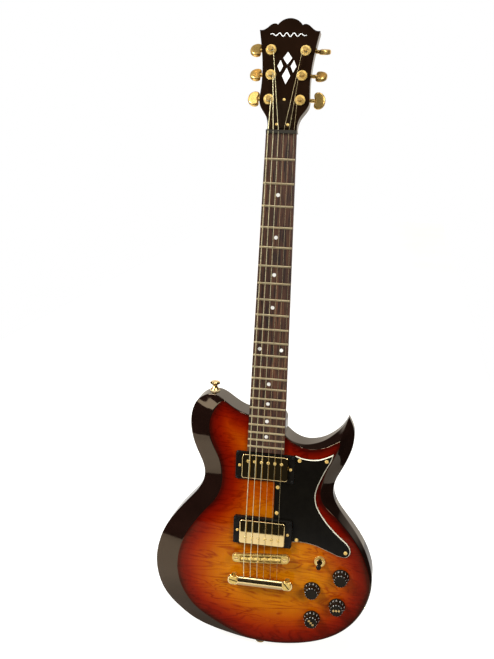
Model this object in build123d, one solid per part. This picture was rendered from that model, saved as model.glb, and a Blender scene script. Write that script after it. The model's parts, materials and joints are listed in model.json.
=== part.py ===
"""Single-cutaway electric guitar, built from separate closed solids, in millimetres.

The parts are drawn lying flat: x across the strings (treble side +), y from the bridge
to the headstock, z out of the front, with z = 0 on the flat middle of the carved top.
place() then stands the guitar up: +Z along the neck, front towards -Y, origin on the
seat of the end strap button.
"""
import math
import os

from build123d import *

# ---- driving dimensions ---------------------------------------------------------
SCALE_LENGTH = 628.65
FRET_COUNT = 22
NECK_ANGLE = 3.0          # fingerboard against the body top
FRET_PLANE_Z = 14.5       # height of the fret tops' plane over the bridge line
HEAD_ANGLE = 13.0         # headstock against the fingerboard
HEAD_DROP = 8.0
BODY_THICKNESS = 44.0
CAP_DEPTH = 14.0
BACK_ROUND = 4.0

BOARD_THICKNESS = 6.0
FRET_HEIGHT = 1.1
BOARD_WIDTH_NUT = 42.5
BOARD_WIDTH_22 = 55.0
BOARD_END = 168.3
NUT_LENGTH = 4.5
HEEL_TOP = 227
HEEL_DEPTHS = ((264, 16.4), (254, 17.2), (244, 19.6), (235, 24.4), (HEEL_TOP, 32.0))
DOT_FRETS = (3, 5, 7, 9, 12, 15, 17, 19, 21)
DOT_R = 2.7

HEAD_THICKNESS = 14.5
VENEER = 1.6
POSTS = ((24.2, 112.8), (21.9, 77.5), (21.9, 43.0))
BUTTON_ANGLES = {-1: (32, 37, 20), 1: (-67, -47, 10)}
GRIP_OUTLINE = [
    (8.2, 0), (6.9, 6.0), (2.8, 10.4), (-2.4, 11.8), (-6.8, 9.8), (-7.6, 5.2),
    (-6.2, 0), (-7.6, -5.2), (-6.8, -9.8), (-2.4, -11.8), (2.8, -10.4), (6.9, -6.0),
]
POST_R = 3.0
WHEEL_R = 3.7
WORM_R = 1.9
WORM_OFFSET = 6.0
WORM_DEPTH = 21.0
RUNNING_GAP = 0.05

STRING_R = (0.58, 0.46, 0.34, 0.23, 0.18, 0.15)
STRING_SPACING_NUT = 7.2
STRING_SPACING_BRIDGE = 10.16
SADDLE_STRING_Z = 18.0
SADDLE_GAP = 0.62

BRIDGE_CENTRE = (0.1, 0.0)
BRIDGE_SLANT = 4.5
BRIDGE_POST_X = 37.0
TAIL_Y = -40.5
TAIL_STUD_X = 41.0
TAIL_STUD_Y = -38.2
TAIL_CENTRE_X = 1.0

NECK_PICKUP = (0.0, 144.0)
BRIDGE_PICKUP = (0.4, 40.8)
COVER_SIZE = (69.0, 38.0)
POLE_PITCH = 10.0

KNOBS = ((122.0, -21.0), (79.6, -47.3), (118.7, -70.0), (81.5, -95.7))
SWITCH = (88.9, 0.9)
END_SEAT_Y = -147.9
PIN_Z = -24.0
UPPER_PIN = (-84.6, 247.3)
JACK_POINT = (154.5, -81.5)
JACK_Z = -27.0
JACK_ANGLE = -28.1        # outward direction of the rim wall at the jack

# ---- body stations: rim x, y, z, then the crease of the flat top x, y ------------------
RIM_OUTER = [
    (-27.0, 222.3, -1.5, -26.4, 220.8),
    (-38.0, 225.6, -1.5, -37.3, 224.2),
    (-51.5, 232.2, -1.5, -50.6, 230.9),
    (-64.5, 241.0, -1.5, -63.8, 239.4),
    (-76.0, 246.4, -5.0, -70.5, 238.2),
    (-87.0, 247.2, -8.0, -75.6, 231.6),
    (-98.0, 243.2, -10.0, -79.8, 224.6),
    (-107.5, 235.5, -10.0, -83.4, 216.5),
    (-113.8, 223.5, -10.0, -85.6, 208.5),
    (-116.9, 207.0, -10.0, -86.4, 199.0),
    (-116.2, 190.0, -10.0, -85.2, 188.0),
    (-111.6, 170.3, -10.0, -80.5, 172.5),
    (-104.0, 152.0, -10.0, -73.6, 157.5),
    (-97.0, 136.5, -10.0, -67.8, 143.5),
    (-94.0, 121.0, -10.0, -64.7, 126.0),
    (-96.8, 106.0, -10.0, -65.4, 109.0),
    (-105.5, 90.5, -10.0, -69.8, 93.0),
    (-118.5, 74.5, -10.0, -79.5, 77.0),
    (-132.5, 57.5, -10.0, -93.5, 60.0),
    (-145.5, 39.5, -10.0, -107.5, 40.0),
    (-156.5, 20.0, -10.0, -119.0, 21.0),
    (-164.0, -1.5, -10.0, -127.5, -1.0),
    (-167.9, -22.5, -10.0, -131.6, -22.5),
    (-167.6, -44.0, -10.0, -131.2, -44.0),
    (-161.5, -69.0, -10.0, -124.6, -68.0),
    (-149.0, -90.5, -9.0, -112.5, -88.5),
    (-130.5, -109.0, -9.0, -95.5, -105.6),
    (-106.5, -124.8, -7.0, -74.0, -119.0),
    (-80.5, -134.4, -5.0, -54.0, -129.8),
    (-52.0, -140.6, -3.0, -38.0, -136.6),
    (-24.0, -145.6, -2.0, -21.5, -142.9),
    (15.0, -148.6, -2.0, 15.0, -146.4),
    (54.0, -145.2, -2.0, 53.6, -143.1),
    (91.0, -135.4, -2.0, 90.2, -133.4),
    (118.0, -121.8, -2.0, 116.8, -120.1),
    (139.0, -103.8, -2.0, 137.5, -102.4),
    (154.5, -81.5, -2.0, 152.6, -80.6),
    (164.5, -56.0, -2.0, 162.4, -55.6),
    (168.3, -30.0, -3.0, 165.6, -30.0),
    (166.2, -11.0, -7.0, 162.8, -10.6),
    (161.8, 3.0, -11.0, 158.3, 2.0),
    (154.8, 19.0, -15.0, 151.6, 17.6),
    (145.6, 34.5, -18.0, 142.7, 32.8),
    (134.0, 50.5, -21.0, 131.2, 48.8),
    (121.5, 66.0, -23.0, 118.2, 63.6),
    (110.0, 81.5, -24.0, 104.5, 78.2),
    (103.2, 96.0, -22.0, 90.5, 91.5),
    (101.5, 111.0, -20.0, 84.2, 107.5),
    (104.6, 126.5, -20.0, 86.0, 126.0),
    (112.0, 142.5, -20.0, 90.3, 143.0),
    (119.5, 159.0, -22.0, 97.0, 159.0),
    (125.4, 176.5, -24.0, 103.6, 173.6),
    (127.3, 191.5, -26.0, 107.6, 183.6),
    (125.5, 206.5, -28.0, 108.6, 189.4),
    (117.5, 223.0, -30.0, 107.0, 193.0),
]
RIM_CUTAWAY = [
    (117.5, 223.0, -30.0, 107.0, 193.0),
    (107.5, 206.0, -27.0, 103.2, 191.6),
    (96.5, 195.3, -24.0, 96.0, 187.2),
    (84.5, 187.2, -19.5, 84.3, 181.2),
    (70.5, 182.2, -15.5, 71.0, 178.2),
    (57.0, 180.9, -11.5, 57.6, 178.4),
    (44.0, 184.0, -7.0, 45.0, 182.2),
    (33.0, 190.4, -3.0, 33.9, 189.0),
    (27.0, 195.8, -2.0, 27.6, 194.0),
]
HEAD_SIDE = [
    (21.3, -1.0), (21.7, 13.0), (25.0, 21.0), (31.0, 29.4), (34.6, 37.5), (34.6, 52.5),
    (33.9, 76.0), (35.4, 98.0), (38.0, 116.0), (40.0, 128.0), (42.4, 140.7),
]
HEAD_SCROLL = [(42.4, 140.7), (35.0, 141.8), (31.5, 144.3), (25.3, 149.2), (20.5, 150.1), (17.4, 148.6)]
HEAD_TOP = (0.0, 158.0)
COVER_SIDE = [(11.2, 3.5), (11.6, 16.0), (12.5, 27.0), (12.3, 33.5), (8.4, 39.0), (3.4, 44.0), (0.0, 48.0)]
GUARD_UPPER = [(46.0, 166.2), (54.5, 163.3), (63.9, 162.4), (74.6, 162.9), (88.0, 167.2), (99.9, 173.7)]
GUARD_OUTER = [
    (99.9, 173.7), (96.7, 161.3), (90.1, 147.8), (82.0, 128.0), (77.1, 110.0), (79.4, 91.0), (87.3, 76.5),
    (97.4, 63.1), (107.5, 52.5), (119.0, 42.1), (129.0, 32.8), (133.5, 21.0), (129.5, 13.2), (119.4, 11.9),
    (106.9, 16.0), (94.3, 21.1), (81.8, 25.5), (67.9, 28.3), (58.3, 28.9), (46.0, 27.6),
]
GUARD_SCREWS = [(50.9, 159.2), (90.7, 161.9), (20.2, 114.0), (20.3, 72.5), (52.0, 32.2), (126.5, 19.6)]
CAVITY = [(66, 14), (104, 14), (140, -6), (140, -58), (130, -82), (98, -112), (66, -112)]

# ---- frames ---------------------------------------------------------------------
NECK = Location((0, 0, FRET_PLANE_Z), (-NECK_ANGLE, 0, 0))
HEAD = NECK * Location((0, SCALE_LENGTH + 4.0, -HEAD_DROP), (-HEAD_ANGLE, 0, 0))
BRIDGE = Location((BRIDGE_CENTRE[0], BRIDGE_CENTRE[1], 0), (0, 0, BRIDGE_SLANT))
STAND_UP = Location((0, PIN_Z, -END_SEAT_Y), (90, 0, 0))
UNDER_BOARD = -FRET_HEIGHT - BOARD_THICKNESS


def place(shapes):
    """Stand a flat-drawn shape, or list of shapes, up in the guitar's own frame."""
    if isinstance(shapes, (list, tuple)):
        return Compound(children=[s.moved(STAND_UP) for item in shapes for s in item.solids()])
    return shapes.moved(STAND_UP)


def save(name, shapes):
    export_step(place(shapes), "parts/" + name + ".step")


def rod(x, y, z0, z1, r):
    """Cylinder along z."""
    return Pos(x, y, z0) * Cylinder(r, z1 - z0, align=(Align.CENTER, Align.CENTER, Align.MIN))


def slab(x0, x1, y0, y1, z0, z1):
    return Pos((x0 + x1) / 2, (y0 + y1) / 2, (z0 + z1) / 2) * Box(x1 - x0, y1 - y0, z1 - z0)


def plate(x, y, z0, z1, w, h, r):
    """Round-cornered plate centred on x, y."""
    return Pos(x, y, z0) * extrude(RectangleRounded(w, h, r), z1 - z0)


def bar(p, q, r):
    """Round bar between two points."""
    a = Vector(*p)
    b = Vector(*q)
    line = b - a
    return Plane(origin=a, z_dir=line) * Cylinder(r, line.length, align=(Align.CENTER, Align.CENTER, Align.MIN))


def turned(points):
    """Solid of revolution about z from (radius, height) points."""
    return revolve(Plane.XZ * make_face(Polyline(*points, close=True)), Axis.Z)


def at(frame, x, y, z):
    """A point given in a frame, as flat-drawing coordinates."""
    p = (frame * Pos(x, y, z)).position
    return (p.X, p.Y, p.Z)


def fret_distance(n):
    return SCALE_LENGTH / 2 ** (n / 12)


def board_width(d):
    slope = (BOARD_WIDTH_22 - BOARD_WIDTH_NUT) / (SCALE_LENGTH - fret_distance(22))
    return BOARD_WIDTH_NUT + (SCALE_LENGTH - d) * slope


# ---- body -----------------------------------------------------------------------
def chord_parameters(rows):
    marks = [0.0]
    for a, b in zip(rows, rows[1:]):
        marks.append(marks[-1] + math.dist(a[:2], b[:2]))
    return [m / marks[-1] for m in marks]


def ring(point_of):
    """Closed ring of three edges through one point of every station."""
    outer = Edge.make_spline([Vector(*point_of(r)) for r in RIM_OUTER], parameters=chord_parameters(RIM_OUTER))
    cut = Edge.make_spline([Vector(*point_of(r)) for r in RIM_CUTAWAY], parameters=chord_parameters(RIM_CUTAWAY))
    joint = Edge.make_line(Vector(*point_of(RIM_CUTAWAY[-1])), Vector(*point_of(RIM_OUTER[0])))
    return [outer, cut, joint]


def body_blank():
    crease = ring(lambda r: (r[3], r[4], 0))
    rim = ring(lambda r: r[:3])
    back = ring(lambda r: (r[0], r[1], -BODY_THICKNESS))
    faces = [Face(Wire(crease)), Face(Wire(back))]
    for upper, lower in ((crease, rim), (rim, back)):
        for a, b in zip(upper, lower):
            faces.append(Face.make_surface_from_curves(a, b))
    blank = Solid(Shell(Face.sew_faces(faces)[0]))
    back_edges = [e for e in blank.edges() if e.bounding_box().max.Z < -BODY_THICKNESS + 0.01]
    return blank.fillet(BACK_ROUND, back_edges)


# ---- neck and headstock ----------------------------------------------------------
def neck_section(d, depth):
    plane = Plane(origin=(0, d, UNDER_BOARD), x_dir=(1, 0, 0), z_dir=(0, 1, 0))
    half = board_width(min(d, SCALE_LENGTH)) / 2
    arc = EllipticalCenterArc((0, 0), half, depth, 0, arc_size=180)
    return plane * make_face([arc, Line((-half, 0), (half, 0))])


def head_outline():
    left_side = [(-x, y) for x, y in HEAD_SIDE]
    left_scroll = [(-x, y) for x, y in HEAD_SCROLL]
    dip = HEAD_SCROLL[-1]
    return make_face([
        Line(left_side[0], HEAD_SIDE[0]),
        Spline(*HEAD_SIDE),
        Spline(*HEAD_SCROLL),
        ThreePointArc(dip, HEAD_TOP, (-dip[0], dip[1])),
        Spline(*reversed(left_scroll)),
        Spline(*reversed(left_side)),
    ])


def neck_solid():
    end = SCALE_LENGTH + NUT_LENGTH
    shaft = loft([neck_section(end, 13.5), neck_section(264, 16.4)])
    sweep_up = loft([neck_section(d, depth) for d, depth in HEEL_DEPTHS])
    stump = extrude(neck_section(HEEL_TOP, HEEL_DEPTHS[-1][1]), -15)
    heel = slab(-26.3, 26.3, 172, HEEL_TOP, -41.5, UNDER_BOARD)
    heel = fillet(heel.edges().filter_by(Axis.Z).sort_by(Axis.Y)[-2:], 12)
    blade = Pos(0, 0, -HEAD_THICKNESS) * extrude(head_outline(), HEAD_THICKNESS - VENEER)
    return NECK * (shaft + sweep_up + stump + heel) + HEAD * blade


neck = neck_solid()
veneer = HEAD * (Pos(0, 0, -VENEER) * extrude(head_outline(), VENEER))
veneer -= NECK * slab(-40, 40, 600, SCALE_LENGTH + NUT_LENGTH, -30, 20)

board_corners = [
    (-board_width(SCALE_LENGTH) / 2, SCALE_LENGTH),
    (board_width(SCALE_LENGTH) / 2, SCALE_LENGTH),
    (board_width(BOARD_END) / 2, BOARD_END),
    (-board_width(BOARD_END) / 2, BOARD_END),
]
board = Pos(0, 0, UNDER_BOARD) * extrude(make_face(Polyline(*board_corners, close=True)), BOARD_THICKNESS)
board = NECK * board

dots = []
for n in DOT_FRETS:
    y = (fret_distance(n) + fret_distance(n - 1)) / 2
    for x in ((-15.8, 15.8) if n == 12 else (0,)):
        dots.append(NECK * rod(x, y, -FRET_HEIGHT - 1.5, -FRET_HEIGHT, DOT_R))
for dot in dots:
    board -= dot

frets = []
for n in range(1, FRET_COUNT + 1):
    d = fret_distance(n)
    wire = Pos(0, d, -1.5) * Rot(0, 90, 0) * Cylinder(1.5, board_width(d) - 0.6)
    frets.append(NECK * (wire & slab(-40, 40, d - 2, d + 2, -FRET_HEIGHT, 1)))

# ---- strings --------------------------------------------------------------------
strings = []
string_points = []
string_paths = []
for i, r in enumerate(STRING_R):
    across = i - 2.5
    x = TAIL_CENTRE_X + across * STRING_SPACING_BRIDGE
    y = BRIDGE_CENTRE[1] + (x - BRIDGE_CENTRE[0]) * math.tan(math.radians(BRIDGE_SLANT))
    side = -1 if i < 3 else 1
    px, py = POSTS[2 - i if i < 3 else i - 3]
    nut_point = at(NECK, across * STRING_SPACING_NUT, SCALE_LENGTH + NUT_LENGTH / 2, 0.9)
    post_point = at(HEAD, side * (px - POST_R - r - 0.35), py, 5.0)
    path = [(x, TAIL_Y - 4.5, 11.5), (x, y - 3.5, SADDLE_STRING_Z + r), nut_point, post_point]
    pieces = [bar(a, b, r) for a, b in zip(path, path[1:])]
    joints = [Pos(*p) * Sphere(r) for p in path[1:-1]]
    string = pieces[0]
    for piece in pieces[1:] + joints:
        string += piece
    strings.append(string)
    string_points.append((x, y))
    string_paths.append(path)

nut = NECK * slab(-21.1, 21.1, SCALE_LENGTH, SCALE_LENGTH + NUT_LENGTH, UNDER_BOARD, 1.2)
for string in strings:
    nut -= string

# ---- tuners ---------------------------------------------------------------------
housings = []
ferrules = []
tuner_buttons = []
tuner_posts = []
back_face = -HEAD_THICKNESS
for side in (-1, 1):
    for (px, py), angle in zip(POSTS, BUTTON_ANGLES[side]):
        x = side * px
        worm_y = py + WORM_OFFSET
        post = rod(x, py, -24.0, 9.0, POST_R) + rod(x, py, -24.0, -18.0, WHEEL_R)
        post -= Pos(x, py, 6.8) * Rot(0, 90, 0) * Cylinder(0.8, 20)
        tuner_posts.append(HEAD * post)
        ferrule = turned([(0, 0), (7.3, 0), (7.3, 1.0), (6.6, 1.8), (5.4, 1.8), (5.0, 2.7), (0, 2.7)])
        ferrule = Pos(x, py, 0) * ferrule + rod(x, py, back_face, 0, 4.8)
        ferrules.append(HEAD * (ferrule - rod(x, py, back_face - 1, 4, POST_R + RUNNING_GAP)))
        case = Pos(x + side * 0.5, py + 2.5, back_face - 12) * extrude(RectangleRounded(17, 20, 3), 12)
        case = fillet(case.faces().sort_by(Axis.Z)[0].edges(), 1.5)
        case -= rod(x, py, -24.4, back_face, WHEEL_R + 0.3)
        worm_bore = Pos(x + side * 3, worm_y, -WORM_DEPTH) * Rot(0, 90, 0) * Cylinder(WORM_R + RUNNING_GAP, 16)
        housings.append(HEAD * (case - worm_bore))
        shaft = Pos(x + side * 7.5, worm_y, -WORM_DEPTH) * Rot(0, 90, 0) * Cylinder(WORM_R, 24)
        grip = extrude(make_face(Spline(*GRIP_OUTLINE, periodic=True)), 7.0)
        grip = Pos(0, 0, -3.5) * fillet(grip.edges(), 2.4)
        collar = Pos(-9.2, 0, 0) * Rot(0, 90, 0) * Cylinder(2.7, 7)
        grip = Rot(angle, 0, 0) * (grip + collar)
        if side < 0:
            grip = Rot(0, 0, 180) * grip
        button = shaft + Pos(x + side * 24.8, worm_y, -WORM_DEPTH) * grip
        tuner_buttons.append(HEAD * button)

for ferrule in ferrules:
    veneer -= ferrule
for side in (-1, 1):
    for px, py in POSTS:
        bore = HEAD * rod(side * px, py, -40, 5, 4.8)
        neck -= bore
        veneer -= bore

truss_cover_face = make_face([
    Line((-COVER_SIDE[0][0], COVER_SIDE[0][1]), COVER_SIDE[0]),
    Spline(*COVER_SIDE),
    Spline(*[(-x, y) for x, y in reversed(COVER_SIDE)]),
])
truss_cover = HEAD * extrude(truss_cover_face, 2.0)

# ---- top and back -----------------------------------------------------------------
body = body_blank()
body -= neck
body -= board
for x, y in (NECK_PICKUP, BRIDGE_PICKUP):
    body -= plate(x, y, -20, 1, 74, 41, 4)
    body -= plate(x, y, -20, 1, 86.5, 13, 4)
cavity_face = fillet(make_face(Polyline(*CAVITY, close=True)).vertices(), 8)
body -= Pos(0, 0, -41) * extrude(cavity_face, 32)
cover_recess = offset(cavity_face, 7.3)
body -= Pos(0, 0, -BODY_THICKNESS) * extrude(cover_recess, 3)
control_cover = Pos(0, 0, -BODY_THICKNESS) * extrude(offset(cavity_face, 7.0), 3)

# ---- controls ---------------------------------------------------------------------
pots = []
knobs = []
for x, y in KNOBS:
    pot = rod(x, y, -20, -9, 12) + rod(x, y, -9, 4.5, 4.7)
    pot -= rod(x, y, -14, 5, 3.0 + RUNNING_GAP)
    hex_nut = Pos(x, y, 0) * extrude(RegularPolygon(6.6, 6), 2.4) - rod(x, y, -1, 3, 4.7)
    pots += [pot, hex_nut]
    body -= rod(x, y, -12, 1, 4.7)
    knob = turned([(0, 0.9), (12.75, 0.9), (12.75, 2.6), (10.3, 8.2), (9.6, 14.6), (8.8, 15.4), (0, 15.4)])
    knob -= rod(0, 0, 0, 6, 8.2)
    knob = Pos(x, y, 0) * knob
    shaft = rod(x, y, -13.5, 12.0, 3.0)
    knobs.append([knob - shaft, shaft])

switch_x, switch_y = SWITCH
switch_body = rod(switch_x, switch_y, -9, 5.0, 5.9) + plate(switch_x, switch_y, -27, -9, 17, 24, 2)
switch_body -= rod(switch_x, switch_y, -22, 6, 4.2)
body -= rod(switch_x, switch_y, -12, 1, 5.9)
switch_nut = turned([(5.9, 0), (8.8, 0), (8.8, 1.4), (7.9, 3.2), (5.9, 3.2)])
switch_nut = Pos(switch_x, switch_y, 0) * switch_nut
lever = rod(0, 0, -12, 12.0, 1.6) + Pos(0, 0, -3) * Sphere(3.2)
lever = Pos(switch_x, switch_y, 0) * lever
tip = turned([(0, 7.5), (2.1, 7.5), (2.4, 11.0), (3.1, 15.5), (3.8, 19.4), (3.6, 21.4), (2.4, 22.6), (0, 23.0)])
tip = Pos(switch_x, switch_y, 0) * tip - lever

# ---- output jack --------------------------------------------------------------------
JACK = Location((JACK_POINT[0], JACK_POINT[1], JACK_Z), (0, 0, JACK_ANGLE)) * Location((0, 0, 0), (0, 90, 0))
jack = turned([
    (3.2, -27), (6.0, -27), (6.0, -1.0), (9.5, -1.0), (9.5, 1.2), (7.6, 1.2), (7.6, 3.4), (5.6, 3.4),
    (5.6, 4.6), (3.2, 4.6),
])
jack = JACK * (jack + rod(0, 0, -29, -27, 6.0))
body -= JACK * (rod(0, 0, -1.0, 20, 10.2) + rod(0, 0, -29, 0, 6.0))

# ---- strap buttons --------------------------------------------------------------------
button_profile = [
    (0, 1.8), (6.2, 1.8), (5.0, 4.2), (3.4, 6.6), (3.6, 8.6), (7.6, 11.2), (7.6, 12.6), (6.2, 14.0), (0, 14.0),
]
END_PIN = Location((0, END_SEAT_Y, PIN_Z), (90, 0, 0))
TOP_PIN = Location((UPPER_PIN[0], UPPER_PIN[1], PIN_Z - 2.0), (-90, 0, 0))
strap_buttons = []
strap_felts = []
for pin in (END_PIN, TOP_PIN):
    screw = rod(0, 0, -24, 1.8, 2.2)
    strap_buttons.append(pin * (turned(button_profile) + screw))
    strap_felts.append(pin * (rod(0, 0, 0, 1.8, 7.6) - rod(0, 0, -1, 3, 2.2)))
    body -= pin * (rod(0, 0, -24, 20, 2.2) + rod(0, 0, 0, 20, 9.0))

# ---- bridge ---------------------------------------------------------------------------
bridge = plate(0, 0, 8.6, 14.2, 86.5, 13.6, 6.0)
bridge = fillet(bridge.faces().sort_by(Axis.Z)[-1].edges(), 1.2)
bridge -= slab(-31.5, 31.5, -4.9, 4.9, 9.8, 20)
bridge_posts = []
bridge_wheels = []
for side in (-1, 1):
    x = side * BRIDGE_POST_X
    post = rod(x, 0, -22, 14.8, 2.2) + rod(x, 0, 14.2, 15.0, 3.0)
    post -= Pos(x, 0, 15) * Box(8, 0.9, 1.4)
    bridge_posts.append(BRIDGE * post)
    bridge_wheels.append(BRIDGE * (rod(x, 0, 6.0, 8.6, 7.2) - rod(x, 0, 5, 9, 2.2)))
    bridge -= rod(x, 0, 5, 16, 2.2)
    bridge -= rod(x, 0, 14.2, 16, 3.0)
saddles = []
intonation = []
for x, y in string_points:
    local_x = (x - BRIDGE_CENTRE[0]) / math.cos(math.radians(BRIDGE_SLANT))
    crest = SADDLE_STRING_Z - SADDLE_GAP
    profile = Plane.YZ * make_face(Polyline((-2.6, 10.1), (2.6, 10.1), (2.6, 14.6), (0.5, crest), (-0.5, crest),
                                            (-2.6, 16.0), close=True))
    saddle = Pos(local_x - 4.7, 0, 0) * extrude(profile, 9.4)
    saddle -= Pos(local_x, 0, 12.4) * Rot(90, 0, 0) * Cylinder(1.6, 20)
    saddles.append(BRIDGE * saddle)
    screw = Pos(local_x, 0.2, 12.4) * Rot(90, 0, 0) * Cylinder(1.2, 13.2)
    head = Pos(local_x, 7.4, 12.4) * Rot(90, 0, 0) * Cylinder(2.0, 1.2)
    intonation.append(BRIDGE * (screw + head))
    bridge -= Pos(local_x, 0, 12.4) * Rot(90, 0, 0) * Cylinder(1.2, 30)
bridge = BRIDGE * bridge
body -= BRIDGE * (rod(-BRIDGE_POST_X, 0, -22, 1, 2.2) + rod(BRIDGE_POST_X, 0, -22, 1, 2.2))

# ---- tailpiece ----------------------------------------------------------------------------
tail_profile = make_face([
    Line((TAIL_Y - 8, 12.2), (TAIL_Y - 8, 7.2)),
    Line((TAIL_Y - 8, 7.2), (TAIL_Y + 8, 7.2)),
    Line((TAIL_Y + 8, 7.2), (TAIL_Y + 8, 12.2)),
    ThreePointArc((TAIL_Y + 8, 12.2), (TAIL_Y, 17.8), (TAIL_Y - 8, 12.2)),
])
tail = Pos(TAIL_CENTRE_X - 34, 0, 0) * extrude(Plane.YZ * tail_profile, 68)
tail_studs = []
for side, slot_angle in ((-1, -11), (1, -50)):
    x = TAIL_CENTRE_X + side * TAIL_STUD_X
    ear = Pos(x, TAIL_STUD_Y - 0.6, 7.2) * extrude(RectangleRounded(17.5, 16.4, 6.5), 9.0)
    tail += fillet(ear.faces().sort_by(Axis.Z)[-1].edges(), 1.4)
    stud = rod(x, TAIL_STUD_Y, -22, 2.0, 4.5) + rod(x, TAIL_STUD_Y, 2.0, 16.2, 3.6)
    stud += rod(x, TAIL_STUD_Y, 4.8, 7.2, 7.0)
    stud += fillet(rod(x, TAIL_STUD_Y, 16.2, 18.4, 6.8).faces().sort_by(Axis.Z)[-1].edges(), 0.9)
    stud -= Pos(x, TAIL_STUD_Y, 18.4) * Rot(0, 0, slot_angle) * Box(20, 1.7, 2.6)
    tail_studs.append(stud)
    body -= rod(x, TAIL_STUD_Y, -22, 1, 4.5)
for side in (-1, 1):
    x = TAIL_CENTRE_X + side * TAIL_STUD_X
    tail -= rod(x, TAIL_STUD_Y, 7, 17, 3.6)
    tail -= slab(x - 3.6, x + 3.6, TAIL_STUD_Y, TAIL_STUD_Y + 20, 7, 17)
for path in string_paths:
    start = Vector(*path[0]) * 1.2 - Vector(*path[1]) * 0.2
    tail -= bar(start, path[1], 1.3)

# ---- pickups ------------------------------------------------------------------------------
def pickup(x, y, top, depth, pole_side):
    """Metal cover and the coil assembly under it."""
    floor = top - depth
    w, h = COVER_SIZE
    cover = plate(x, y, floor + 1.5, top, w, h, 3.5)
    cover = fillet(cover.faces().sort_by(Axis.Z)[-1].edges(), 1.6)
    cover -= plate(x, y, floor, top - 0.9, w - 1.6, h - 1.6, 2.7)
    base = plate(x, y, floor, floor + 1.5, w, h, 3.5) + plate(x, y, floor, floor + 1.5, 83.5, 9, 2)
    for side in (-1, 1):
        base -= rod(x + side * 38.3, y, floor - 1, top, 2.0)
    coils = base
    for side in (-1, 1):
        coils += plate(x, y + side * 9.0, floor + 1.5, top - 0.9, w - 3, 16.4, 6)
    for k in range(6):
        px = x + (k - 2.5) * POLE_PITCH
        pole = rod(px, y + pole_side * 8.6, top - 1.5, top + 0.5, 2.4)
        cover -= rod(px, y + pole_side * 8.6, top - 2, top + 2, 2.4)
        coils += pole
    return cover, coils


def pickup_ring(x, y, height, depth):
    outer = plate(x, y, 0, height, 89, depth, 3.0)
    outer = fillet(outer.faces().sort_by(Axis.Z)[-1].edges(), 1.0)
    return outer - plate(x, y, -1, height + 1, COVER_SIZE[0] + 1.2, COVER_SIZE[1] + 1.2, 4.0)


def screw_at(x, y, top, length, r, head_r):
    """Dome-headed cross-slot screw, head seated on top."""
    head = turned([(0, top), (head_r, top), (head_r * 0.8, top + 0.9), (head_r * 0.4, top + 1.3), (0, top + 1.35)])
    head -= Pos(0, 0, top + 1.4) * (Box(head_r * 1.2, 0.6, 1.4) + Box(0.6, head_r * 1.2, 1.4))
    return Pos(x, y, 0) * (head + rod(0, 0, top - length, top, r))


neck_cover, neck_coils = pickup(*NECK_PICKUP, 6.4, 14.0, 1)
bridge_cover, bridge_coils = pickup(*BRIDGE_PICKUP, 12.0, 19.0, -1)
neck_ring = pickup_ring(*NECK_PICKUP, 3.0, 44)
bridge_ring = pickup_ring(*BRIDGE_PICKUP, 7.0, 44)
ring_screws = []
height_screws = []
for (x, y), height in ((NECK_PICKUP, 3.0), (BRIDGE_PICKUP, 7.0)):
    for sx in (-1, 1):
        height_screws.append(screw_at(x + sx * 38.3, y, height, height + 14, 1.4, 2.3))
        for sy in (-1, 1):
            ring_screws.append(screw_at(x + sx * 41.2, y + sy * 18.8, height, height + 8, 1.2, 2.2))

# ---- pickguard ------------------------------------------------------------------------------
guard_face = make_face([
    Line((15.5, 166.2), GUARD_UPPER[0]),
    Spline(*GUARD_UPPER),
    Spline(*GUARD_OUTER),
    Line(GUARD_OUTER[-1], (15.5, 27.6)),
    Line((15.5, 27.6), (15.5, 166.2)),
])
guard = extrude(guard_face, 2.2)
curved = [e for e in guard.faces().sort_by(Axis.Z)[-1].edges() if e.geom_type == GeomType.BSPLINE]
guard = chamfer(curved, 1.2)
for x, y in (NECK_PICKUP, BRIDGE_PICKUP):
    guard -= plate(x, y, -1, 5, 89.6, 44.6, 3.3)
small_screws = [screw_at(x, y, 2.2, 12.0, 1.3, 2.9) for x, y in GUARD_SCREWS]
for x, y in ((0, 42.7), (-7.8, 7.7), (7.8, 7.7)):
    small_screws.append(HEAD * screw_at(x, y, 2.0, 9.0, 0.9, 2.0))

# ---- plate screws -----------------------------------------------------------------------------
plate_screws = []
for x, y in ((64, 8), (106, 16), (143.5, -20), (132.8, -83.8), (95.6, -115.6), (62.5, -60)):
    screw = Rot(180, 0, 0) * Pos(0, 0, BODY_THICKNESS) * screw_at(0, 0, 0, 12.0, 1.3, 2.9)
    plate_screws.append(Pos(x, y, 0) * screw)

# ---- holes the fasteners fill, then the cap and the back ----------------------------------------
for screw in small_screws[:6]:
    guard -= screw
    body -= screw
for screw in small_screws[6:]:
    truss_cover -= screw
    veneer -= screw
    neck -= screw
for screw in ring_screws:
    neck_ring -= screw
    bridge_ring -= screw
    body -= screw
for screw in height_screws:
    neck_ring -= screw
    bridge_ring -= screw
for screw in plate_screws:
    control_cover -= screw
    body -= screw
for felt in strap_felts:
    body -= felt
split = Plane.XY.offset(-CAP_DEPTH)
top_cap = body.split(split, keep=Keep.TOP)
body_back = body.split(split, keep=Keep.BOTTOM)

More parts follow.
